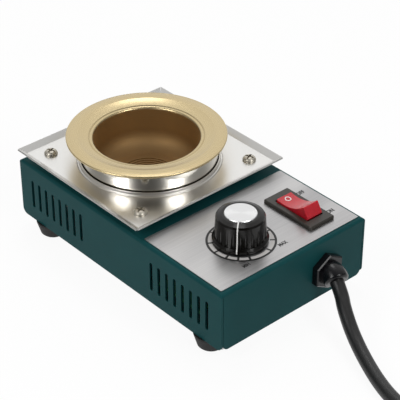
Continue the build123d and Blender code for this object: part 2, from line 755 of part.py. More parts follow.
with BuildPart() as cord_entry:
    with BuildSketch(gland_plane.offset(-sheet - 5.0)):
        Circle(cord_diameter / 2)
    extrude(amount=sheet + 5.0 + gland_flange + nose_bore_depth)
write("cord_entry", cord_entry.part)

with BuildPart() as gland_locknut:
    with BuildSketch(gland_plane.offset(-sheet - 3.5)):
        RegularPolygon(8.0, 6, major_radius=False)
        Circle(gland_thread / 2 + running_fit, mode=Mode.SUBTRACT)
    extrude(amount=3.5)
write("gland_locknut", gland_locknut.part)

# Control board on four standoffs, with its parts soldered on
board_bottom = base_top + standoff_height
board_top = board_bottom + 1.6
with BuildPart() as board_standoffs:
    with BuildSketch(Plane.XY.offset(base_top)):
        with Locations(*board_holes):
            RegularPolygon(2.5, 6, major_radius=False)
            Circle(foot_screw_diameter / 2 + fit_gap, mode=Mode.SUBTRACT)
    extrude(amount=standoff_height)
write("board_standoffs", board_standoffs.part)

with BuildPart() as control_board:
    with BuildSketch(Plane.XY.offset(board_bottom)):
        with Locations((board_x, board_y)):
            Rectangle(board_width, board_length)
        with Locations(*board_holes):
            Circle(foot_screw_diameter / 2 + fit_gap, mode=Mode.SUBTRACT)
    extrude(amount=1.6)
write("control_board", control_board.part)

with BuildPart() as board_screws:
    with BuildSketch(Plane.XY.offset(board_top)):
        with Locations(*board_holes):
            Circle(2.7)
    extrude(amount=1.6)
    with BuildSketch(Plane.XY.offset(case_bottom)):
        with Locations(*board_holes):
            Circle(foot_screw_diameter / 2)
    extrude(amount=board_top - case_bottom)
write("board_screws", board_screws.part)

sink_x = board_x - board_width / 2 + 6.0
with BuildPart() as heat_sink:
    with BuildSketch(Plane.XY.offset(board_top)):
        with Locations((sink_x, board_y + 2)):
            Rectangle(1.5, 24.0)
            with GridLocations(1, 5.5, 1, 5):
                with Locations((-2.5, 0)):
                    Rectangle(5.0, 1.2)
    extrude(amount=14.0)
write("heat_sink", heat_sink.part)

with BuildPart() as triac:
    with BuildSketch(Plane.XY.offset(board_top + 4.0)):
        with Locations((sink_x + 0.75 + 2.2, board_y + 2)):
            Rectangle(4.4, 10.0)
    extrude(amount=9.0)
    with BuildSketch(Plane.XY.offset(board_top)):
        with Locations((sink_x + 3.0, board_y + 2)):
            with GridLocations(1, 2.54, 1, 3):
                Rectangle(0.6, 0.8)
    extrude(amount=4.0)
write("triac", triac.part)

with BuildPart() as capacitor:
    with BuildSketch(Plane.XY.offset(board_top)):
        with Locations((board_x + 2, board_y + 18)):
            RectangleRounded(18.0, 8.5, 0.8)
    extrude(amount=14.0)
write("capacitor", capacitor.part)

with BuildPart() as choke:
    with BuildSketch(Plane.XZ.offset(-board_y - 2)):
        with Locations((board_x + 8 + 6.2, board_top + 4.0)):
            Circle(3.6)
    revolve(axis=Axis((board_x + 8, board_y + 2, 0), (0, 0, 1)))
    with BuildSketch(Plane.XY.offset(board_top)):
        with Locations((board_x + 8 - 6.2, board_y + 2), (board_x + 8 + 6.2, board_y + 2)):
            Circle(0.6)
    extrude(amount=2.0)
write("choke", choke.part)

fuse_x = board_x + 1
fuse_y = board_y - 20
with BuildPart() as fuse_holder:
    for side in (-1, 1):
        with BuildSketch(Plane.XY.offset(board_top)):
            with Locations((fuse_x + side * 9, fuse_y)):
                Rectangle(4.0, 7.0)
        extrude(amount=7.0)
    with BuildSketch(Plane.YZ.offset(fuse_x - 12)):
        with Locations((fuse_y, board_top + 4.2)):
            Circle(2.62)
    extrude(amount=24.0, mode=Mode.SUBTRACT)
    with BuildSketch(Plane.XY.offset(board_top + 5.2)):
        with Locations((fuse_x, fuse_y)):
            Rectangle(24.0, 4.4)
    extrude(amount=3.0, mode=Mode.SUBTRACT)
write("fuse_holder", fuse_holder.part)

with BuildPart() as fuse:
    with BuildSketch(Plane.YZ.offset(fuse_x - 10)):
        with Locations((fuse_y, board_top + 4.2)):
            Circle(2.6)
    extrude(amount=20.0)
write("fuse", fuse.part)

# Terminal block on the base plate, with its screw
block_length = 30.0
block_depth = 15.0
block_height = 13.0
pole_places = [(block_x + pole * 9.6, block_y) for pole in (-1, 0, 1)]
with BuildPart() as terminal_block:
    with BuildSketch(Plane.XY.offset(base_top)):
        with Locations((block_x, block_y)):
            Rectangle(block_length, block_depth)
            Rectangle(1.6, block_depth - 5, mode=Mode.SUBTRACT)
    extrude(amount=block_height)
    with BuildSketch(Plane.XY.offset(base_top + 6)):
        with Locations(*pole_places):
            with GridLocations(1, 7.0, 1, 2):
                Circle(1.9)
    extrude(amount=block_height, mode=Mode.SUBTRACT)
    with BuildSketch(Plane.XZ.offset(-block_y - block_depth / 2 - 1)):
        with Locations(*[(x, base_top + 4) for x, y in pole_places]):
            Circle(1.6)
    extrude(amount=block_depth + 2, mode=Mode.SUBTRACT)
write("terminal_block", terminal_block.part)

with BuildPart() as terminal_screws:
    with BuildSketch(Plane.XY.offset(base_top + 6)):
        with Locations(*pole_places):
            with GridLocations(1, 7.0, 1, 2):
                Circle(1.75)
                Rectangle(4.0, 0.5, mode=Mode.SUBTRACT)
    extrude(amount=5.0)
write("terminal_screws", terminal_screws.part)

# Earth screw with its nut and ring tag on the base plate
with BuildPart() as earth_stud:
    with BuildSketch(Plane.XY.offset(case_bottom - 1.6)):
        with Locations((earth_x, earth_y)):
            Circle(2.8)
    extrude(amount=1.6)
    with BuildSketch(Plane.XY.offset(case_bottom)):
        with Locations((earth_x, earth_y)):
            Circle(foot_screw_diameter / 2)
    extrude(amount=base_sheet + 5)
write("earth_stud", earth_stud.part)

with BuildPart() as earth_nut:
    with BuildSketch(Plane.XY.offset(base_top + 0.8)):
        with Locations((earth_x, earth_y)):
            RegularPolygon(2.75, 6, major_radius=False)
            Circle(foot_screw_diameter / 2, mode=Mode.SUBTRACT)
    extrude(amount=2.4)
write("earth_nut", earth_nut.part)

# Wires inside the case, each a smooth tube between its two ends
wire_diameter = 2.0


def tube_radii(points, share=0.45):
    radii = []
    for before, corner, after in zip(points, points[1:], points[2:]):
        incoming = Vector(*corner) - Vector(*before)
        outgoing = Vector(*after) - Vector(*corner)
        half_turn = radians(incoming.get_angle(outgoing)) / 2
        shorter = min(incoming.length, outgoing.length)
        radii.append(share * shorter / (sin(half_turn) / cos(half_turn)))
    return radii


def write_tube(name, points, diameter):
    radii = tube_radii(points)
    with BuildPart() as tube:
        with BuildLine() as route:
            FilletPolyline(*points, radius=radii)
        with BuildSketch(Plane(points[0], z_dir=Vector(*points[1]) - Vector(*points[0]))):
            Circle(diameter / 2)
        sweep(path=route.wires()[0])
    expected = pi * diameter ** 2 / 4 * route.wires()[0].length
    print(name, "radii", [round(radius, 1) for radius in radii], "length", round(route.wires()[0].length, 1),
          "volume share", round(tube.part.volume / expected, 4))
    write(name, tube.part)


wire_low = case_bottom + base_sheet + 2.2
gland_inner = -wall_front + sheet + 5.0
core_starts = [(gland_x - 2.1, -1.0), (gland_x, 1.2), (gland_x + 2.1, -1.0)]
for name, (core_x, rise), (pole_x, pole_y) in zip(["wire_live", "wire_neutral", "wire_earth"], core_starts,
                                                  pole_places):
    write_tube(name, [(core_x, gland_inner + 0.7, gland_z + rise),
                      (core_x, gland_inner + 4, gland_z + rise - 3.2),
                      (core_x + (pole_x - core_x) * 0.3, gland_inner + 13, wire_low + 1),
                      (pole_x, block_y - 17, wire_low - 0.2), (pole_x, block_y - 9, base_top + 4),
                      (pole_x, block_y - 2, base_top + 4)], wire_diameter)

lead_bends = [(-14.0, 5.0), (3.0, 9.0)]
lead_ends = [(6.0, 2.5), (17.0, 1.0)]
for name, start, bend, end, (pole_x, pole_y) in zip(["heater_lead_left", "heater_lead_right"], lead_places,
                                                    lead_bends, lead_ends, pole_places):
    write_tube(name, [(*start, shell_bottom + shell_wall + 1.3), (*start, shell_bottom - 7.0),
                      (*bend, base_top + 6.0), (*end, base_top + 4.4),
                      (pole_x, block_y + 9, base_top + 4), (pole_x, block_y + 2, base_top + 4)], wire_diameter)

wall_lane = -inner_half_width + 3.0
bond_back = case_length / 2 - 5.75
write_tube("bond_wire", [(wall_lane, bond_back - 36.0, case_roof - 1.1),
                         (wall_lane - 0.3, bond_back - 28.0, case_roof - 2.4),
                         (wall_lane, bond_back - 18.0, case_bottom + 19.0),
                         (wall_lane + 0.4, bond_back - 7.5, case_bottom + 11.0),
                         (wall_lane + 5.0, bond_back, case_bottom + 6.0),
                         (-26.5, earth_y + 1.6, base_top + 1.4)], 1.8)

# Mains cord: from the gland down to the surface, then out to the coil
cord_radius = cord_diameter / 2
coil_width = coil_layers_wide * cord_diameter
coil_height = coil_layers_high * cord_diameter
coil_x = -43.5
coil_y = -184.0
cord_points = [tuple(nose_tip), tuple(nose_tip + slant * 6.5), (12.2, -90.4, 14.0), (7.4, -100.8, 8.0),
               (2.2, -113.4, 4.4), (-3.6, -127.5, cord_radius), (-7.4, -140.5, cord_radius),
               (-7.6, -153.0, cord_radius), (-6.2, -165.3, cord_radius)]
write_tube("mains_cord", cord_points, cord_diameter)

with BuildPart() as cord_coil:
    with BuildSketch(Plane.XZ.offset(-coil_y)):
        with Locations((coil_x + coil_mean_diameter / 2, coil_height / 2)):
            RectangleRounded(coil_width, coil_height, cord_radius - 0.2)
    revolve(axis=Axis((coil_x, coil_y, 0), (0, 0, 1)))
write("cord_coil", cord_coil.part)

# Tail and plug: the cord leaves the coil's outer turn on its upper layer, beside where it came in
leave_angle = 20.0
leave_heading = Vector(sin(radians(leave_angle)), -cos(radians(leave_angle)), 0)
outer_turn = coil_mean_diameter / 2 + cord_diameter * (coil_layers_wide - 1) / 2
tail_start = Vector(coil_x + outer_turn * cos(radians(leave_angle)),
                    coil_y + outer_turn * sin(radians(leave_angle)), coil_height - cord_radius)
plug_direction = Vector(0.574, -0.819, 0).normalized()
plug_rear = Vector(5.5, -197.5, plug_thickness / 2)
tail_points = [tuple(tail_start), tuple(tail_start + leave_heading * 11.0),
               tuple(plug_rear - plug_direction * 8.0), tuple(plug_rear)]
write_tube("cord_tail", tail_points, cord_diameter)

relief_length = 11.0
plug_plane = Plane(plug_rear, x_dir=(0, 0, 1), z_dir=plug_direction)
with BuildPart() as plug_body:
    with BuildSketch(plug_plane):
        Circle(cord_radius + 1.2)
    with BuildSketch(plug_plane.offset(relief_length)):
        Circle(cord_radius + 2.4)
    loft()
    with BuildSketch(plug_plane.offset(relief_length)):
        RectangleRounded(plug_thickness - 3.0, plug_width - 7.0, 4.0)
    with BuildSketch(plug_plane.offset(relief_length + 9.0)):
        RectangleRounded(plug_thickness, plug_width, 5.0)
    loft()
    with BuildSketch(plug_plane.offset(relief_length + 9.0)):
        RectangleRounded(plug_thickness, plug_width, 5.0)
    extrude(amount=plug_length - relief_length - 9.0)
    fillet(plug_body.faces().sort_by(Axis(tuple(plug_rear), tuple(plug_direction)))[-1].edges(), 1.0)
write("plug_body", plug_body.part)

with BuildPart() as plug_pins:
    with BuildSketch(plug_plane.offset(plug_length)):
        with Locations((-2.2, -6.35), (-2.2, 6.35)):
            Rectangle(6.3, 1.5)
        with Locations((4.4, 0)):
            Circle(2.4)
    extrude(amount=blade_length)
write("plug_pins", plug_pins.part)
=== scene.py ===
from math import cos, sin, radians, pi
import bmesh
import bpy
from mathutils import Matrix, Vector


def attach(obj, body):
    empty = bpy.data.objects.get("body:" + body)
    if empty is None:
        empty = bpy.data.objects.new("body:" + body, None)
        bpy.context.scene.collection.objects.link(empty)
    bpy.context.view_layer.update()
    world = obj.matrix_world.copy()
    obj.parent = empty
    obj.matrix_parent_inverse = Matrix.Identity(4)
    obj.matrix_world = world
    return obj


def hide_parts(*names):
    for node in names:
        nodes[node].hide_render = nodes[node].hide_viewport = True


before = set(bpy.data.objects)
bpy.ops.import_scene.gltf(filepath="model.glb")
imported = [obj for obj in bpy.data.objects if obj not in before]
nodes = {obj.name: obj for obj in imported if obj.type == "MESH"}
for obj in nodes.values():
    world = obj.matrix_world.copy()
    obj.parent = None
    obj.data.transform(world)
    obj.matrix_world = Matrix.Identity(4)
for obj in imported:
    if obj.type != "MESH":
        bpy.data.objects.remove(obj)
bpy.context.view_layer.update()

mm = 0.001
scene = bpy.context.scene
scene.view_settings.view_transform = "Standard"


def fromHex(code):
    # sRGB hex to the linear colour that a shader socket takes
    channels = [int(code[i:i + 2], 16) / 255 for i in (1, 3, 5)]
    return [c / 12.92 if c <= 0.04045 else ((c + 0.055) / 1.055) ** 2.4 for c in channels] + [1.0]


def darker(colour, share):
    return [c * share for c in colour[:3]] + [1.0]


def addNode(tree, kind, settings=None, links=None):
    # settings and links go by the node's property or by its socket's name or number. A Mix of
    # colours takes its two colours at 6 and 7 and gives the result at output 2
    node = tree.nodes.new("ShaderNode" + kind)
    for key, value in (settings or {}).items():
        if isinstance(key, str) and hasattr(node, key):
            setattr(node, key, value)
        else:
            node.inputs[key].default_value = value
    for key, socket in (links or {}).items():
        tree.links.new(socket, node.inputs[key])
    return node


def newMaterial(name):
    material = bpy.data.materials.new(name)
    material.use_nodes = True
    tree = material.node_tree
    tree.nodes.clear()
    return material, tree


def surface(tree, settings, links):
    shader = addNode(tree, "BsdfPrincipled", settings, links)
    addNode(tree, "OutputMaterial", {}, {"Surface": shader.outputs["BSDF"]})


def dress(name, material):
    # a carried-over CAD node keeps its mesh and takes a better finish
    nodes[name].data.materials.clear()
    nodes[name].data.materials.append(material)


# Camera, as the photograph was taken
view = {
    "azimuth": -41.3,
    "elevation": 34.14,
    "roll": -0.2,
    "lens": 138.6,
    "sensor": 36,
    "nearest": 0.01,
    "distance": 0.72697,
    "target": (0.01009, 0.00267, 0.0249),
}


def placeCamera():
    azimuth, elevation, roll = (radians(view[key]) for key in ("azimuth", "elevation", "roll"))
    back = Vector((sin(azimuth) * cos(elevation), -cos(azimuth) * cos(elevation), sin(elevation)))
    right = Vector((0, 0, 1)).cross(back).normalized()
    up = back.cross(right)
    rolledRight = right * cos(roll) + up * sin(roll)
    rolledUp = up * cos(roll) - right * sin(roll)
    data = bpy.data.cameras.new("photoCamera")
    data.lens = view["lens"]
    data.sensor_width = view["sensor"]
    data.clip_start = view["nearest"]
    camera = bpy.data.objects.new("photoCamera", data)
    scene.collection.objects.link(camera)
    turn = Matrix((rolledRight, rolledUp, back)).transposed().to_4x4()
    place = Vector(view["target"]) + back * view["distance"]
    camera.matrix_world = Matrix.Translation(place) @ turn
    scene.camera = camera


placeCamera()
print("camera placed")

# Mains cord: the route from the gland to the coil, the coil's turns, and the tail to the plug
cordFacts = {
    "diameter": 6.5,
    "length": 1.4,
    "noseCorner": (18.7, -77.55, 21.7),
    "slant": (-0.30, -0.80, -0.52),
    "noseSlant": 3.8,
    "straightRun": 6.5,
    "drop": [(12.2, -90.4, 14.0), (7.4, -100.8, 8.0), (2.2, -113.4, 4.4)],
    "onTable": [(-3.6, -127.5), (-7.4, -140.5), (-7.6, -153.0), (-6.2, -165.3)],
    "coilCentre": (-43.5, -184.0),
    "turnsPerLayer": 3,
    "turnRadius": 32.5,
    "pointsPerTurn": 14,
    "stepOverFrom": 0.75,
    "leaveTurn": (-3.1, -181.0, 9.75),
    "plugRear": (5.5, -197.5, 8.0),
    "plugDirection": (0.574, -0.819, 0),
    "plugRun": 8.0,
    "splineOrder": 3,
    "smoothness": 8,
}


def cordRoute():
    radius = cordFacts["diameter"] / 2
    slant = Vector(cordFacts["slant"]).normalized()
    start = Vector(cordFacts["noseCorner"]) + slant * cordFacts["noseSlant"]
    points = [start, start + slant * cordFacts["straightRun"]]
    points += [Vector(place) for place in cordFacts["drop"]]
    points += [Vector((x, y, radius)) for x, y in cordFacts["onTable"]]
    cx, cy = cordFacts["coilCentre"]
    steps = cordFacts["pointsPerTurn"]
    pitch = cordFacts["diameter"]
    # the lower layer winds inwards from the outer turn, the upper one back out
    rings = [(cordFacts["turnRadius"] + pitch * (1 - i), radius)
             for i in range(cordFacts["turnsPerLayer"])]
    rings += [(r, z + pitch) for r, z in reversed(rings)]
    stepOver = cordFacts["stepOverFrom"]
    for i in range(len(rings) * steps):
        turn, share = divmod(i / steps, 1)
        r, z = rings[int(turn)]
        nextRing = rings[min(int(turn) + 1, len(rings) - 1)]
        # a turn steps over to the next one in its last quarter
        blendIn = max(0.0, (share - stepOver) / (1 - stepOver))
        r += (nextRing[0] - r) * blendIn
        z += (nextRing[1] - z) * blendIn
        angle = -2 * pi * i / steps
        points.append(Vector((cx + r * cos(angle), cy + r * sin(angle), z)))
    plugDirection = Vector(cordFacts["plugDirection"]).normalized()
    rear = Vector(cordFacts["plugRear"])
    points += [Vector(cordFacts["leaveTurn"]), rear - plugDirection * cordFacts["plugRun"], rear]
    return [p * mm for p in points]


def buildCord():
    curve = bpy.data.curves.new("mainsCord", "CURVE")
    curve.dimensions = "3D"
    curve.bevel_depth = 1.0
    curve.bevel_resolution = cordFacts["smoothness"]
    curve.resolution_u = cordFacts["smoothness"]
    curve.use_fill_caps = True
    points = cordRoute()
    spline = curve.splines.new("NURBS")
    spline.points.add(len(points) - 1)
    for knot, place in zip(spline.points, points):
        knot.co = (*place, 1)
        # the points hold the thickness, so that the box counts it
        knot.radius = cordFacts["diameter"] / 2 * mm
    spline.order_u = cordFacts["splineOrder"]
    spline.use_endpoint_u = True
    cord = bpy.data.objects.new("mainsCord", curve)
    scene.collection.objects.link(cord)
    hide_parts("mains_cord", "cord_coil", "cord_tail")
    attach(cord, "base")
    return cord


mainsCord = buildCord()
print("cord laid")

# Finishes. Each starts from the real material and how its surface was made. Sizes are in mm, and
# a roughness pair is the glossiest and the dullest that the pattern reaches
finish = {}
takenOut = 1e6  # the scale that takes an axis out of a pattern


def objectCoords(tree, location=(0, 0, 0), scale=(1, 1, 1), rotation=(0, 0, 0)):
    coords = addNode(tree, "TexCoord")
    return addNode(tree, "Mapping",
                   {"vector_type": "TEXTURE", "Location": location, "Rotation": rotation,
                    "Scale": scale},
                   {"Vector": coords.outputs["Object"]}).outputs[0]


def powderCoat():
    # polyester powder coat on folded steel: a satin green with a fine orange peel that breaks up
    # the gloss
    coat = {"colour": "#16484A", "deep": "#123F41", "cloudScale": 0.045, "peelSize": 0.7,
            "roughness": (0.37, 0.49), "bump": 0.25, "peelDepth": 0.03, "ior": 1.5, "sheen": 0.06}
    material, tree = newMaterial("powderCoatedSteelGreen")
    place = objectCoords(tree, scale=(mm, mm, mm))
    cloud = addNode(tree, "TexNoise", {"Scale": coat["cloudScale"], "Detail": 3.0},
                    {"Vector": place})
    colour = addNode(tree, "Mix",
                     {"data_type": "RGBA", 6: fromHex(coat["deep"]), 7: fromHex(coat["colour"])},
                     {0: cloud.outputs["Fac"]})
    peel = addNode(tree, "TexNoise", {"Scale": 1 / coat["peelSize"], "Detail": 1.5},
                   {"Vector": place})
    gloss = addNode(tree, "MapRange",
                    {"To Min": coat["roughness"][0], "To Max": coat["roughness"][1]},
                    {"Value": peel.outputs["Fac"]})
    bump = addNode(tree, "Bump", {"Strength": coat["bump"], "Distance": coat["peelDepth"] * mm},
                   {"Height": peel.outputs["Fac"]})
    surface(tree, {"IOR": coat["ior"], "Specular IOR Level": coat["sheen"]},
            {"Base Color": colour.outputs[2], "Roughness": gloss.outputs[0],
             "Normal": bump.outputs[0]})
    return material


def rolledStainless():
    # cold rolled stainless sheet: satin, with a rolling grain along X, and a painted reflection of
    # the brass pot: a warm tone painted round the pot
    sheet = {"colour": "#E0DFDC", "brassReflection": "#C7B596", "brassReflectionShare": 0.15, "brassReflectionFrom": 33.0,
             "brassReflectionTo": 42.0, "grainWidth": 0.25, "grainLength": 30.0, "roughness": (0.26, 0.39),
             "bump": 0.12, "grainDepth": 0.02, "potCentre": (0, 27.0, 0)}
    material, tree = newMaterial("rolledStainlessSteel")
    grain = objectCoords(tree, scale=(sheet["grainLength"] * mm, sheet["grainWidth"] * mm, mm))
    lines = addNode(tree, "TexNoise", {"Scale": 1.0, "Detail": 3.0}, {"Vector": grain})
    gloss = addNode(tree, "MapRange",
                    {"To Min": sheet["roughness"][0], "To Max": sheet["roughness"][1]},
                    {"Value": lines.outputs["Fac"]})
    centred = objectCoords(tree, location=tuple(v * mm for v in sheet["potCentre"]),
                           scale=(mm, mm, takenOut))
    fromPot = addNode(tree, "VectorMath", {"operation": "LENGTH"}, {0: centred})
    # painted reflection: the sheet is painted warmer towards the brass pot
    paintedReflection = addNode(tree, "MapRange",
                   {"From Min": sheet["brassReflectionTo"], "From Max": sheet["brassReflectionFrom"], "To Min": 0.0,
                    "To Max": sheet["brassReflectionShare"]},
                   {"Value": fromPot.outputs["Value"]})
    colour = addNode(tree, "Mix",
                     {"data_type": "RGBA", 6: fromHex(sheet["colour"]), 7: fromHex(sheet["brassReflection"])},
                     {0: paintedReflection.outputs[0]})
    bump = addNode(tree, "Bump", {"Strength": sheet["bump"], "Distance": sheet["grainDepth"] * mm},
                   {"Height": lines.outputs["Fac"]})
    surface(tree, {"Metallic": 1.0},
            {"Base Color": colour.outputs[2], "Roughness": gloss.outputs[0],
             "Normal": bump.outputs[0]})
    return material


def spunStainless():
    # spun and polished stainless: near mirror, with faint rings from spinning
    shell = {"colour": "#E6E3DC", "ringPitch": 0.6, "ringSpan": 200, "roughness": (0.04, 0.15),
             "bump": 0.15, "ringDepth": 0.01}
    material, tree = newMaterial("spunStainlessSteel")
    height = objectCoords(tree, scale=(shell["ringSpan"] * mm, shell["ringSpan"] * mm,
                                       shell["ringPitch"] * mm))
    rings = addNode(tree, "TexNoise", {"Scale": 1.0, "Detail": 2.0}, {"Vector": height})
    gloss = addNode(tree, "MapRange",
                    {"To Min": shell["roughness"][0], "To Max": shell["roughness"][1]},
                    {"Value": rings.outputs["Fac"]})
    bump = addNode(tree, "Bump", {"Strength": shell["bump"], "Distance": shell["ringDepth"] * mm},
                   {"Height": rings.outputs["Fac"]})
    surface(tree, {"Metallic": 1.0, "Base Color": fromHex(shell["colour"])},
            {"Roughness": gloss.outputs[0], "Normal": bump.outputs[0]})
    return material


def turnedBrass():
    # turned brass-coloured metal: warm tan gold, fine lathe rings about the pot's axis, duller
    # and darker inside the bowl, and darker still towards the bowl's bottom
    bowl = {"colour": "#C6B48C", "roughness": (0.21, 0.35), "ringPitch": 0.45, "bump": 0.08,
            "ringDepth": 0.015, "potCentre": (-0.9, 27.8, 0),
            "dull": "#AC8753", "dullRoughness": 0.42, "dullShare": 0.85, "dullInside": 25.6,
            "dullBelow": 53.6, "dullFully": 52.4,
            "deep": "#8A6A42", "deepBelow": 44.0, "deepFully": 35.0}
    material, tree = newMaterial("turnedBrass")
    centred = objectCoords(tree, location=tuple(v * mm for v in bowl["potCentre"]),
                           scale=(mm, mm, mm))
    split = addNode(tree, "SeparateXYZ", {}, {0: centred})
    flat = addNode(tree, "CombineXYZ", {}, {0: split.outputs[0], 1: split.outputs[1]})
    reach = addNode(tree, "VectorMath", {"operation": "LENGTH"}, {0: flat.outputs[0]})
    along = addNode(tree, "Math", {"operation": "ADD"},
                    {0: reach.outputs["Value"], 1: split.outputs[2]})
    rings = addNode(tree, "TexNoise",
                    {"noise_dimensions": "1D", "Scale": 1 / bowl["ringPitch"], "Detail": 2.0},
                    {"W": along.outputs[0]})
    inside = addNode(tree, "Math", {"operation": "LESS_THAN", 1: bowl["dullInside"]},
                     {0: reach.outputs["Value"]})
    depth = addNode(tree, "MapRange",
                    {"From Min": bowl["dullBelow"], "From Max": bowl["dullFully"], "To Min": 0.0,
                     "To Max": bowl["dullShare"]},
                    {"Value": split.outputs[2]})
    # inside the bowl below its lip the colour goes duller and darker, and darker still lower down
    insideShare = addNode(tree, "Math", {"operation": "MULTIPLY"},
                   {0: inside.outputs[0], 1: depth.outputs[0]})
    down = addNode(tree, "MapRange",
                   {"From Min": bowl["deepBelow"], "From Max": bowl["deepFully"], "To Min": 0.0,
                    "To Max": 1.0},
                   {"Value": split.outputs[2]})
    within = addNode(tree, "Mix",
                     {"data_type": "RGBA", 6: fromHex(bowl["dull"]), 7: fromHex(bowl["deep"])},
                     {0: down.outputs[0]})
    colour = addNode(tree, "Mix", {"data_type": "RGBA", 6: fromHex(bowl["colour"])},
                     {0: insideShare.outputs[0], 7: within.outputs[2]})
    turned = addNode(tree, "MapRange",
                     {"To Min": bowl["roughness"][0], "To Max": bowl["roughness"][1]},
                     {"Value": rings.outputs["Fac"]})
    gloss = addNode(tree, "Math", {"operation": "MULTIPLY_ADD", 1: bowl["dullRoughness"]},
                    {0: insideShare.outputs[0], 2: turned.outputs[0]})
    bump = addNode(tree, "Bump", {"Strength": bowl["bump"], "Distance": bowl["ringDepth"] * mm},
                   {"Height": rings.outputs["Fac"]})
    surface(tree, {"Metallic": 1.0},
            {"Base Color": colour.outputs[2], "Roughness": gloss.outputs[0],
             "Normal": bump.outputs[0]})
    return material


def labelPlate():
    # anodised aluminium label: silver, brushed along X, its tone uneven with the grain and with
    # broad diagonal streaks of painted reflected light
    label = {"colour": "#C9C8C7", "grey": "#A09FA0", "toneFrom": 0.26, "toneTo": 0.74,
             "grainWidth": 0.3, "grainLength": 45.0, "grainDepth": 0.02, "bump": 0.15,
             "roughness": (0.28, 0.42),
             "paintedStreakWidth": 14.0, "paintedStreakLength": 60.0, "paintedStreakTurn": 0.35, "paintedStreakShare": 0.6}
    material, tree = newMaterial("brushedAluminiumLabel")
    grain = objectCoords(tree, scale=(label["grainLength"] * mm, label["grainWidth"] * mm, mm))
    lines = addNode(tree, "TexNoise", {"Scale": 1.0, "Detail": 4.0}, {"Vector": grain})
    # painted reflection: broad diagonal streaks of light are mixed into the colour with the grain
    across = objectCoords(tree, scale=(label["paintedStreakLength"] * mm, label["paintedStreakWidth"] * mm, mm),
                          rotation=(0, 0, label["paintedStreakTurn"]))
    sheen = addNode(tree, "TexNoise", {"Scale": 1.0, "Detail": 0.0}, {"Vector": across})
    tone = addNode(tree, "Mix", {"data_type": "FLOAT", 0: label["paintedStreakShare"]},
                   {2: lines.outputs["Fac"], 3: sheen.outputs["Fac"]})
    spread = addNode(tree, "MapRange", {"From Min": label["toneFrom"], "From Max": label["toneTo"]},
                     {"Value": tone.outputs[0]})
    colour = addNode(tree, "Mix",
                     {"data_type": "RGBA", 6: fromHex(label["grey"]), 7: fromHex(label["colour"])},
                     {0: spread.outputs[0]})
    gloss = addNode(tree, "MapRange",
                    {"To Min": label["roughness"][0], "To Max": label["roughness"][1]},
                    {"Value": lines.outputs["Fac"]})
    bump = addNode(tree, "Bump", {"Strength": label["bump"], "Distance": label["grainDepth"] * mm},
                   {"Height": lines.outputs["Fac"]})
    surface(tree, {"Metallic": 1.0},
            {"Base Color": colour.outputs[2], "Roughness": gloss.outputs[0],
             "Normal": bump.outputs[0]})
    return material


def spunAluminium():
    # diamond-turned aluminium: bright, with a fan of light that turns about the knob's axis
    disc = {"colour": "#DEDEDE", "roughness": (0.17, 0.27), "anisotropy": 0.85, "ringPitch": 0.25,
            "knobCentre": (-10.0, -47.0, 0)}
    material, tree = newMaterial("diamondTurnedAluminium")
    centred = objectCoords(tree, location=tuple(v * mm for v in disc["knobCentre"]),
                           scale=(mm, mm, takenOut))
    reach = addNode(tree, "VectorMath", {"operation": "LENGTH"}, {0: centred})
    rings = addNode(tree, "TexNoise", {"noise_dimensions": "1D", "Scale": 1 / disc["ringPitch"]},
                    {"W": reach.outputs["Value"]})
    gloss = addNode(tree, "MapRange",
                    {"To Min": disc["roughness"][0], "To Max": disc["roughness"][1]},
                    {"Value": rings.outputs["Fac"]})
    around = addNode(tree, "Tangent", {"direction_type": "RADIAL", "axis": "Z"})
    surface(tree, {"Metallic": 1.0, "Base Color": fromHex(disc["colour"]),
                   "Anisotropic": disc["anisotropy"]},
            {"Roughness": gloss.outputs[0], "Tangent": around.outputs[0]})
    return material


def rockerRed():
    # clear red polycarbonate, moulded: light goes some way in, so its edges glow
    rocker = {"colour": "#C8202C", "deep": "#B5182A", "roughness": (0.16, 0.26), "ior": 1.58,
              "cloudScale": 0.25, "glow": 0.25, "glowDepth": 2.0, "glowColour": (1.0, 0.1, 0.1)}
    material, tree = newMaterial("redPolycarbonate")
    place = objectCoords(tree, scale=(mm, mm, mm))
    cloud = addNode(tree, "TexNoise", {"Scale": rocker["cloudScale"]}, {"Vector": place})
    colour = addNode(tree, "Mix",
                     {"data_type": "RGBA", 6: fromHex(rocker["deep"]),
                      7: fromHex(rocker["colour"])},
                     {0: cloud.outputs["Fac"]})
    gloss = addNode(tree, "MapRange",
                    {"To Min": rocker["roughness"][0], "To Max": rocker["roughness"][1]},
                    {"Value": cloud.outputs["Fac"]})
    surface(tree, {"IOR": rocker["ior"], "Subsurface Weight": rocker["glow"],
                   "Subsurface Scale": rocker["glowDepth"] * mm,
                   "Subsurface Radius": rocker["glowColour"]},
            {"Base Color": colour.outputs[2], "Roughness": gloss.outputs[0]})
    return material


# What all moulded plastics share, and all plated metals
plastic = {"ior": 1.5, "glossSpread": 0.06, "bump": 0.2}
plating = {"shade": 0.86, "glossier": 0.07, "duller": 0.09}
ink = {"shade": 0.9, "roughness": 0.5, "coverScale": 4.0}


def mouldedPlastic(name, colour, roughness, grainSize=0.4, depth=0.02, shade=0.82, gleam=0.5):
    # injection moulded plastic: an even body colour, and a fine spark-eroded grain that softens
    # the gloss
    material, tree = newMaterial(name)
    place = objectCoords(tree, scale=(mm, mm, mm))
    grain = addNode(tree, "TexNoise", {"Scale": 1 / grainSize, "Detail": 2.0}, {"Vector": place})
    body = fromHex(colour)
    tone = addNode(tree, "Mix", {"data_type": "RGBA", 6: darker(body, shade), 7: body},
                   {0: grain.outputs["Fac"]})
    gloss = addNode(tree, "MapRange", {"To Min": roughness - plastic["glossSpread"],
                                       "To Max": roughness + plastic["glossSpread"]},
                    {"Value": grain.outputs["Fac"]})
    bump = addNode(tree, "Bump", {"Strength": plastic["bump"], "Distance": depth * mm},
                   {"Height": grain.outputs["Fac"]})
    surface(tree, {"IOR": plastic["ior"], "Specular IOR Level": gleam},
            {"Base Color": tone.outputs[2], "Roughness": gloss.outputs[0],
             "Normal": bump.outputs[0]})
    return material


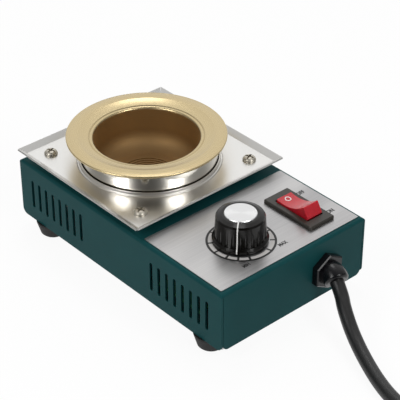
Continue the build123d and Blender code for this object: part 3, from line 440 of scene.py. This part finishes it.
def platedMetal(name, colour, roughness, spotSize=1.5, stretch=(1, 1, 1)):
    # plated or bare metal: small clouds in the plating change its gloss
    material, tree = newMaterial(name)
    place = objectCoords(tree, scale=tuple(spotSize * mm * s for s in stretch))
    cloud = addNode(tree, "TexNoise", {"Scale": 1.0, "Detail": 3.0}, {"Vector": place})
    metal = fromHex(colour)
    tone = addNode(tree, "Mix",
                   {"data_type": "RGBA", 6: darker(metal, plating["shade"]), 7: metal},
                   {0: cloud.outputs["Fac"]})
    gloss = addNode(tree, "MapRange", {"To Min": roughness - plating["glossier"],
                                       "To Max": roughness + plating["duller"]},
                    {"Value": cloud.outputs["Fac"]})
    surface(tree, {"Metallic": 1.0},
            {"Base Color": tone.outputs[2], "Roughness": gloss.outputs[0]})
    return material


def printInk(name, colour):
    # screen printed ink: flat and slightly uneven in cover
    material, tree = newMaterial(name)
    place = objectCoords(tree, scale=(mm, mm, mm))
    cover = addNode(tree, "TexNoise", {"Scale": ink["coverScale"]}, {"Vector": place})
    full = fromHex(colour)
    tone = addNode(tree, "Mix", {"data_type": "RGBA", 6: darker(full, ink["shade"]), 7: full},
                   {0: cover.outputs["Fac"]})
    surface(tree, {"Roughness": ink["roughness"]}, {"Base Color": tone.outputs[2]})
    return material


finish["green"] = powderCoat()
finish["stainless"] = rolledStainless()
finish["spunSteel"] = spunStainless()
finish["brass"] = turnedBrass()
finish["label"] = labelPlate()
finish["disc"] = spunAluminium()
finish["red"] = rockerRed()
finish["knob"] = mouldedPlastic("mouldedAbsBlack", "#0D0B09", 0.16, depth=0.005, gleam=0.32)
finish["bezel"] = mouldedPlastic("mouldedNylonBlack", "#2E2B24", 0.38)
finish["gland"] = mouldedPlastic("glandNylonBlack", "#101013", 0.24, gleam=0.36)
finish["cord"] = mouldedPlastic("extrudedPvcBlack", "#161616", 0.42, grainSize=0.8)
finish["plug"] = mouldedPlastic("mouldedPvcBlack", "#181818", 0.45)
finish["rubber"] = mouldedPlastic("mouldedRubberBlack", "#121212", 0.7, grainSize=0.6, depth=0.05)
finish["screw"] = platedMetal("nickelPlatedSteel", "#C2BCAF", 0.42)
finish["zinc"] = platedMetal("zincPlatedSteel", "#BDBFC0", 0.38, spotSize=4.0)
finish["tin"] = platedMetal("tinnedCopper", "#D9D4C8", 0.3)
finish["copper"] = platedMetal("enamelledCopperWire", "#B4632F", 0.28, spotSize=0.5)
finish["heatSink"] = platedMetal("extrudedAluminium", "#BFC2C4", 0.4, stretch=(1, 1, 12))
finish["ceramic"] = mouldedPlastic("firedCeramicWhite", "#DAD4C6", 0.75, grainSize=0.5,
                                   depth=0.05, shade=0.9)
finish["mica"] = mouldedPlastic("pressedMicaBoard", "#3A322A", 0.6, grainSize=1.2, depth=0.06,
                                shade=0.7)
finish["board"] = mouldedPlastic("epoxyGlassBoard", "#2F6B3C", 0.4, grainSize=0.5)
finish["component"] = mouldedPlastic("epoxyMouldedBlack", "#1C1C1E", 0.55)
finish["capacitor"] = mouldedPlastic("filmCapacitorCase", "#B58A1E", 0.35)
finish["nylon"] = mouldedPlastic("terminalNylonWhite", "#D8D4C6", 0.45)
finish["fuse"] = platedMetal("nickelledFuseCaps", "#CFCBC0", 0.25)
finish["brown"] = mouldedPlastic("pvcWireBrown", "#5B3216", 0.4)
finish["blue"] = mouldedPlastic("pvcWireBlue", "#1F4E9A", 0.4)
finish["earth"] = mouldedPlastic("pvcWireGreenYellow", "#6F9A2B", 0.4)
finish["sleeve"] = mouldedPlastic("glassFibreSleeve", "#E2DDCF", 0.8, grainSize=0.5, depth=0.08,
                                  shade=0.85)
finish["inkBlack"] = printInk("screenInkBlack", "#1B1A1A")
finish["inkWhite"] = printInk("screenInkWhite", "#F2F1EE")
finish["inkPale"] = printInk("screenInkPale", "#C6C3C0")

wears = {
    "green": ["case_cover"],
    "zinc": ["base_plate", "corner_brackets", "heater_strap", "dimmer_body"],
    "rubber": ["foot_front_left", "foot_front_right", "foot_back_left", "foot_back_right"],
    "screw": ["foot_screws", "plate_screws", "plate_nuts", "plate_spacers", "heater_stud",
              "heater_nut", "dimmer_nut", "dimmer_shaft", "board_standoffs", "board_screws",
              "terminal_screws", "earth_stud", "earth_nut", "plug_pins"],
    "label": ["control_label"],
    "stainless": ["deflector_plate"],
    "spunSteel": ["heater_shell"],
    "mica": ["insulating_ring"],
    "ceramic": ["heater_element"],
    "brass": ["crucible"],
    "knob": ["knob"],
    "disc": ["knob_disc"],
    "bezel": ["switch_housing"],
    "red": ["switch_rocker"],
    "gland": ["gland_body", "gland_nose", "gland_locknut"],
    "cord": ["cord_entry", "mains_cord", "cord_coil", "cord_tail"],
    "plug": ["plug_body"],
    "tin": ["dimmer_tags", "switch_tags", "bond_wire", "fuse_holder"],
    "board": ["control_board"],
    "heatSink": ["heat_sink"],
    "component": ["triac"],
    "capacitor": ["capacitor"],
    "copper": ["choke"],
    "fuse": ["fuse"],
    "nylon": ["terminal_block"],
    "brown": ["wire_live"],
    "blue": ["wire_neutral"],
    "earth": ["wire_earth"],
    "sleeve": ["heater_lead_left", "heater_lead_right"],
}
for key, names in wears.items():
    for name in names:
        dress(name, finish[key])
mainsCord.data.materials.append(finish["cord"])
print("finishes on")


def newPiece(name, mesh, material, body):
    piece = bpy.data.objects.new(name, mesh)
    scene.collection.objects.link(piece)
    mesh.materials.append(material)
    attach(piece, body)
    return piece


def closeMesh(name, shape, weld=0.001):
    bmesh.ops.remove_doubles(shape, verts=shape.verts, dist=weld * mm)
    bmesh.ops.recalc_face_normals(shape, faces=shape.faces)
    mesh = bpy.data.meshes.new(name)
    shape.to_mesh(mesh)
    shape.free()
    return mesh


def addRing(shape, centre, inner, outer, low, high, start=0.0, sweep=360.0, steps=96):
    # a flat bar spun about the vertical axis through centre
    corners = [shape.verts.new(((centre[0] + r) * mm, centre[1] * mm, z * mm))
               for r, z in ((inner, low), (outer, low), (outer, high), (inner, high))]
    bar = shape.faces.new(corners)
    pivot = Vector((*centre, 0)) * mm
    bmesh.ops.rotate(shape, verts=corners, cent=pivot,
                     matrix=Matrix.Rotation(radians(start), 3, "Z"))
    whole = sweep >= 360
    geom = list(bar.edges) + corners if whole else [bar] + list(bar.edges) + corners
    if whole:
        shape.faces.remove(bar)
    bmesh.ops.spin(shape, geom=geom, cent=pivot, axis=(0, 0, 1), angle=radians(min(sweep, 360)),
                   steps=steps, use_merge=whole, use_duplicate=False)


def addBar(shape, centre, angle, inner, outer, width, low, high):
    # a short radial bar, for a tick of the dial
    size = Matrix.Diagonal(((outer - inner) * mm, width * mm, (high - low) * mm, 1))
    turn = Matrix.Rotation(radians(angle), 4, "Z")
    out = Matrix.Translation(Vector(((inner + outer) / 2, 0, (low + high) / 2)) * mm)
    shift = Matrix.Translation(Vector((*centre, 0)) * mm)
    bmesh.ops.create_cube(shape, size=1.0, matrix=shift @ turn @ out @ size)


# Deflector plate: a square sheet pressed up at its four sides, with open mitres, and a drawn
# collar. The collar's profile is radius and height above the sheet
plate = {
    "centre": (0.0, 27.0),
    "top": 41.8,
    "sheet": 0.8,
    "fold": 41.15,
    "rim": 44.3,
    "rise": 2.1,
    "mitreGap": 0.16,
    "mitreFootReach": 1.0,
    "mitreFootHeight": 0.5,
    "hole": 34.0,
    "sideSteps": 12,
    "edgeRound": 0.12,
    "edgeFrom": 0.9,  # radians: the sheet's edges are sharper than this, and its folds blunter
    "collar": [(33.0, -0.8), (32.74, 0.2), (32.7, 1.35), (32.78, 1.6), (32.98, 1.72),
               (33.2, 1.68), (33.36, 1.5), (33.5, 0.7), (33.62, 0.32), (33.9, 0.1),
               (34.6, 0.012), (34.2, -0.2), (34.1, -0.78)],
    "collarSteps": 128,
}


def atMitreFoot(vert):
    nearFold = min(abs(vert.co.x), abs(vert.co.y)) > plate["fold"] - plate["mitreFootReach"]
    return nearFold and vert.co.z < plate["mitreFootHeight"]


def buildPlate():
    shape = bmesh.new()
    fold, rim, steps = plate["fold"], plate["rim"], plate["sideSteps"]
    quarter = Matrix.Rotation(radians(90), 3, "Z")
    side = [Vector((fold, -fold + 2 * fold * i / steps, 0)) for i in range(steps)]
    places = []
    for turn in range(4):
        places += side
        side = [quarter @ point for point in side]
    outer = [shape.verts.new(point) for point in places]
    inner = [shape.verts.new(point.normalized() * plate["hole"]) for point in places]
    pairs = [(i, (i + 1) % len(outer)) for i in range(len(outer))]
    rims = [[shape.edges.new((ring[i], ring[j])) for i, j in pairs] for ring in (outer, inner)]
    bmesh.ops.bridge_loops(shape, edges=rims[0] + rims[1])
    # each side is pulled out and up by itself, so the corners stay open along the mitre
    share = (rim - plate["mitreGap"]) / fold
    for turn in range(4):
        edges = rims[0][turn * steps:(turn + 1) * steps]
        pulled = bmesh.ops.extrude_edge_only(shape, edges=edges)["geom"]
        away = Matrix.Rotation(radians(90 * turn), 3, "Z") @ Vector((1, 0, 0))
        for vert in pulled:
            if isinstance(vert, bmesh.types.BMVert):
                along = vert.co - away * fold
                vert.co = away * rim + along * share + Vector((0, 0, plate["rise"]))
    bmesh.ops.recalc_face_normals(shape, faces=shape.faces)
    if sum(face.normal.z for face in shape.faces) < 0:
        bmesh.ops.reverse_faces(shape, faces=shape.faces)
    bmesh.ops.solidify(shape, geom=shape.faces[:], thickness=plate["sheet"])
    # the foot of each mitre stays unrounded, because four edges meet there
    sharp = [edge for edge in shape.edges
             if len(edge.link_faces) == 2 and edge.calc_face_angle() > plate["edgeFrom"]
             and not any(atMitreFoot(vert) for vert in edge.verts)]
    bmesh.ops.bevel(shape, geom=sharp, offset=plate["edgeRound"], segments=2, profile=0.5,
                    material=-1, affect="EDGES", clamp_overlap=True)
    # only the collar shades as a curve: the sheet and its flanges reflect as flats
    flats = set(shape.faces)
    profile = [shape.verts.new((r, 0, z)) for r, z in plate["collar"]]
    loop = [shape.edges.new(pair) for pair in zip(profile, profile[1:] + profile[:1])]
    bmesh.ops.spin(shape, geom=profile + loop, cent=(0, 0, 0), axis=(0, 0, 1),
                   angle=radians(360), steps=plate["collarSteps"], use_merge=True,
                   use_duplicate=False)
    for face in shape.faces:
        face.smooth = face not in flats
    bmesh.ops.scale(shape, vec=(mm, mm, mm), verts=shape.verts)
    bmesh.ops.translate(shape, vec=Vector((*plate["centre"], plate["top"])) * mm,
                        verts=shape.verts)
    return closeMesh("deflectorPlate", shape)


deflectorPlate = newPiece("deflectorPlate", buildPlate(), finish["stainless"], "base")
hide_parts("deflector_plate")
print("plate pressed")

# Printing on the label: the dial's ring, its ticks and the pale fields between them
dial = {
    "centre": (-10.3, -47.9),
    "ringOuter": 15.8,
    "ringInner": 14.75,
    "tickInner": 12.6,
    "tickOverlap": 0.2,
    "tickWidth": 0.95,
    "ticks": (243, 222, 201, 176, 147, 114, 83, 52, 21, -10, -40, -72),
    "fieldInner": 12.95,
    "fieldOuter": 14.72,
    "halfTick": 1.95,
    "labelTop": 38.3,
    "thickness": 0.05,
    "fieldThickness": 0.03,
    "fieldSteps": 12,
}
top = dial["labelTop"]
inkTop = top + dial["thickness"]


def buildScale():
    shape = bmesh.new()
    addRing(shape, dial["centre"], dial["ringInner"], dial["ringOuter"], top, inkTop)
    for angle in dial["ticks"]:
        addBar(shape, dial["centre"], angle, dial["tickInner"],
               dial["ringInner"] + dial["tickOverlap"], dial["tickWidth"], top, inkTop)
    return closeMesh("dialScale", shape)


def buildFields():
    shape = bmesh.new()
    # the last field goes on past the last tick, round to the first
    ends = dial["ticks"][1:] + (dial["ticks"][0] - 360,)
    for first, second in zip(ends, dial["ticks"]):
        addRing(shape, dial["centre"], dial["fieldInner"], dial["fieldOuter"], top,
                top + dial["fieldThickness"], start=first + dial["halfTick"],
                sweep=second - first - 2 * dial["halfTick"], steps=dial["fieldSteps"])
    return closeMesh("dialFields", shape)


newPiece("dialScale", buildScale(), finish["inkBlack"], "base")
newPiece("dialFields", buildFields(), finish["inkPale"], "base")

# Words printed on the label
words = {
    "MIN": {"place": (-21.1, -62.9), "height": 1.9},
    "MAX": {"place": (1.6, -61.8), "height": 1.9},
    "OFF": {"place": (35.2, -38.6), "height": 2.3},
    "ON": {"place": (35.0, -58.0), "height": 2.3},
}
lettering = {"squeeze": 0.8, "weight": 0.12, "capShare": 0.7, "raise": 0.02, "smoothness": 4,
             "weld": 0.0001}


def buildWords():
    shape = bmesh.new()
    for word, facts in words.items():
        data = bpy.data.curves.new(word, "FONT")
        data.body = word
        data.size = facts["height"] / lettering["capShare"] * mm
        data.align_x = "CENTER"
        data.align_y = "CENTER"
        data.offset = lettering["weight"] * mm
        data.extrude = lettering["raise"] * mm
        data.resolution_u = lettering["smoothness"]
        letters = bpy.data.objects.new(word, data)
        mesh = bpy.data.meshes.new_from_object(letters)
        mesh.transform(Matrix.Diagonal((lettering["squeeze"], 1, 1, 1)))
        place = Vector((*facts["place"], top + lettering["raise"])) * mm
        mesh.transform(Matrix.Translation(place))
        shape.from_mesh(mesh)
        bpy.data.objects.remove(letters)
    return closeMesh("panelWords", shape, weld=lettering["weld"])


newPiece("panelWords", buildWords(), finish["inkBlack"], "base")

# Ring mark printed on the far end of the rocker, for off
ringMark = {
    "centre": (24.9, -41.0),
    "outer": 1.5,
    "inner": 1.12,
    "above": 42.0,
    "thickness": 0.06,
    "steps": 40,
}


def buildRingMark():
    # the ring is spun flat and then laid on the rocker's dished top
    shape = bmesh.new()
    addRing(shape, ringMark["centre"], ringMark["inner"], ringMark["outer"], 0.0,
            ringMark["thickness"], steps=ringMark["steps"])
    rocker = nodes["switch_rocker"]
    for vert in shape.verts:
        start = Vector((vert.co.x, vert.co.y, ringMark["above"] * mm))
        found, spot, normal, face = rocker.ray_cast(start, (0, 0, -1))
        vert.co = spot + normal * vert.co.z
    return closeMesh("rockerRing", shape)


newPiece("rockerRing", buildRingMark(), finish["inkWhite"], "rocker")

# Knob's pointer line: over the top, down the fluted side and over the skirt. The path is radius
# and height
pointer = {
    "centre": (-10.0, -47.0),
    "angle": 220,
    "width": 0.55,
    "thickness": 0.12,
    "path": [(7.4, 52.35), (8.75, 52.35), (10.65, 51.65), (11.16, 50.75), (11.5, 46.0),
             (11.88, 41.3), (12.75, 40.45), (12.76, 39.2)],
}


def buildPointer():
    shape = bmesh.new()
    turn = Matrix.Rotation(radians(pointer["angle"]), 4, "Z")
    shift = Matrix.Translation(Vector((*pointer["centre"], 0)) * mm)
    side = [shape.verts.new((r * mm, -pointer["width"] / 2 * mm, z * mm))
            for r, z in pointer["path"]]
    edges = [shape.edges.new(pair) for pair in zip(side, side[1:])]
    wide = bmesh.ops.extrude_edge_only(shape, edges=edges)["geom"]
    bmesh.ops.translate(shape, vec=(0, pointer["width"] * mm, 0),
                        verts=[v for v in wide if isinstance(v, bmesh.types.BMVert)])
    bmesh.ops.recalc_face_normals(shape, faces=shape.faces)
    bmesh.ops.solidify(shape, geom=shape.faces[:], thickness=-pointer["thickness"] * mm)
    bmesh.ops.transform(shape, matrix=shift @ turn, verts=shape.verts)
    return closeMesh("pointerLine", shape)


newPiece("pointerLine", buildPointer(), finish["inkWhite"], "knob")
print("printing done")

# Studio: white floor that keeps a faint shadow, a softbox on each side of the camera, one behind
# the object overhead, and a surround that is bright behind and dark in the gap in front. Floor and
# lamps are in metres, the surround's bright and dark ends go by cosine
studio = {
    "floorSize": 6.0,
    "floorShow": 0.92,
    "floorGlow": 1.0,
    "floorTones": ("#FCFCFC", "#FFFFFF"),
    "floorGrain": 300.0,
    "lampDistance": 1.4,
    "low": 0.26,
    "high": 1.05,
    "brightAt": (0.511, 0.582, 0.632),
    "brightFrom": 0.45,
    "brightFull": 0.95,
    "gapAt": (-0.546, -0.622, 0.561),
    "gapFrom": 0.68,
    "gapFull": 0.9,
    "gapLevel": 0.04,
}
lamps = {
    "leftSoftbox": {"azimuth": -90, "elevation": 40, "size": (0.45, 0.6), "power": 6.5},
    "rightSoftbox": {"azimuth": 4, "elevation": 40, "size": (0.45, 0.6), "power": 6.5},
    "backSoftbox": {"azimuth": 138, "elevation": 68, "size": (0.36, 0.42), "power": 1.7},
}
white = (1, 1, 1, 1)


def buildFloor():
    shape = bmesh.new()
    bmesh.ops.create_grid(shape, x_segments=1, y_segments=1, size=studio["floorSize"] / 2)
    mesh = bpy.data.meshes.new("floor")
    shape.to_mesh(mesh)
    shape.free()
    floor = bpy.data.objects.new("floor", mesh)
    scene.collection.objects.link(floor)
    material, tree = newMaterial("paperFloor")
    grain = addNode(tree, "TexNoise", {"Scale": studio["floorGrain"]})
    first, second = studio["floorTones"]
    tone = addNode(tree, "Mix", {"data_type": "RGBA", 6: fromHex(first), 7: fromHex(second)},
                   {0: grain.outputs["Fac"]})
    paper = addNode(tree, "BsdfDiffuse", {}, {"Color": tone.outputs[2]})
    glow = addNode(tree, "Emission", {"Color": white, "Strength": studio["floorGlow"]})
    path = addNode(tree, "LightPath")
    seen = addNode(tree, "Math", {"operation": "MAXIMUM"},
                   {0: path.outputs["Is Camera Ray"], 1: path.outputs["Is Transmission Ray"]})
    seenAll = addNode(tree, "Math", {"operation": "MAXIMUM"},
                      {0: seen.outputs[0], 1: path.outputs["Is Glossy Ray"]})
    share = addNode(tree, "Math", {"operation": "MULTIPLY", 1: studio["floorShow"]},
                    {0: seenAll.outputs[0]})
    both = addNode(tree, "MixShader", {},
                   {0: share.outputs[0], 1: paper.outputs[0], 2: glow.outputs[0]})
    addNode(tree, "OutputMaterial", {}, {"Surface": both.outputs[0]})
    mesh.materials.append(material)


def buildWorld():
    # the camera sees plain white, and the object is lit by and mirrors the shaped surround
    world = bpy.data.worlds.new("softSurround")
    scene.world = world
    world.use_nodes = True
    tree = world.node_tree
    tree.nodes.clear()
    path = addNode(tree, "LightPath")
    plain = addNode(tree, "Background", {"Color": white, "Strength": 1.0})
    coords = addNode(tree, "TexCoord")
    behind = addNode(tree, "VectorMath", {"operation": "DOT_PRODUCT", 1: studio["brightAt"]},
                     {0: coords.outputs["Generated"]})
    level = addNode(tree, "MapRange",
                    {"interpolation_type": "SMOOTHSTEP", "From Min": studio["brightFrom"],
                     "From Max": studio["brightFull"], "To Min": studio["low"],
                     "To Max": studio["high"]},
                    {"Value": behind.outputs["Value"]})
    towards = addNode(tree, "VectorMath", {"operation": "DOT_PRODUCT", 1: studio["gapAt"]},
                      {0: coords.outputs["Generated"]})
    gap = addNode(tree, "MapRange",
                  {"interpolation_type": "SMOOTHSTEP", "From Min": studio["gapFrom"],
                   "From Max": studio["gapFull"], "To Min": 1.0, "To Max": studio["gapLevel"]},
                  {"Value": towards.outputs["Value"]})
    strength = addNode(tree, "Math", {"operation": "MULTIPLY"},
                       {0: level.outputs[0], 1: gap.outputs[0]})
    soft = addNode(tree, "Background", {"Color": white}, {"Strength": strength.outputs[0]})
    seen = addNode(tree, "Math", {"operation": "MAXIMUM"},
                   {0: path.outputs["Is Camera Ray"], 1: path.outputs["Is Transmission Ray"]})
    both = addNode(tree, "MixShader", {},
                   {0: seen.outputs[0], 1: soft.outputs[0], 2: plain.outputs[0]})
    addNode(tree, "OutputWorld", {}, {"Surface": both.outputs[0]})


def addLamp(name, facts):
    data = bpy.data.lights.new(name, "AREA")
    data.shape = "RECTANGLE"
    data.size, data.size_y = facts["size"]
    data.energy = facts["power"]
    lamp = bpy.data.objects.new(name, data)
    scene.collection.objects.link(lamp)
    azimuth, elevation = radians(facts["azimuth"]), radians(facts["elevation"])
    away = Vector((sin(azimuth) * cos(elevation), -cos(azimuth) * cos(elevation), sin(elevation)))
    lamp.location = away * studio["lampDistance"]
    lamp.rotation_euler = away.to_track_quat("Z", "Y").to_euler()


buildFloor()
buildWorld()
for name, facts in lamps.items():
    addLamp(name, facts)
print("studio lit")
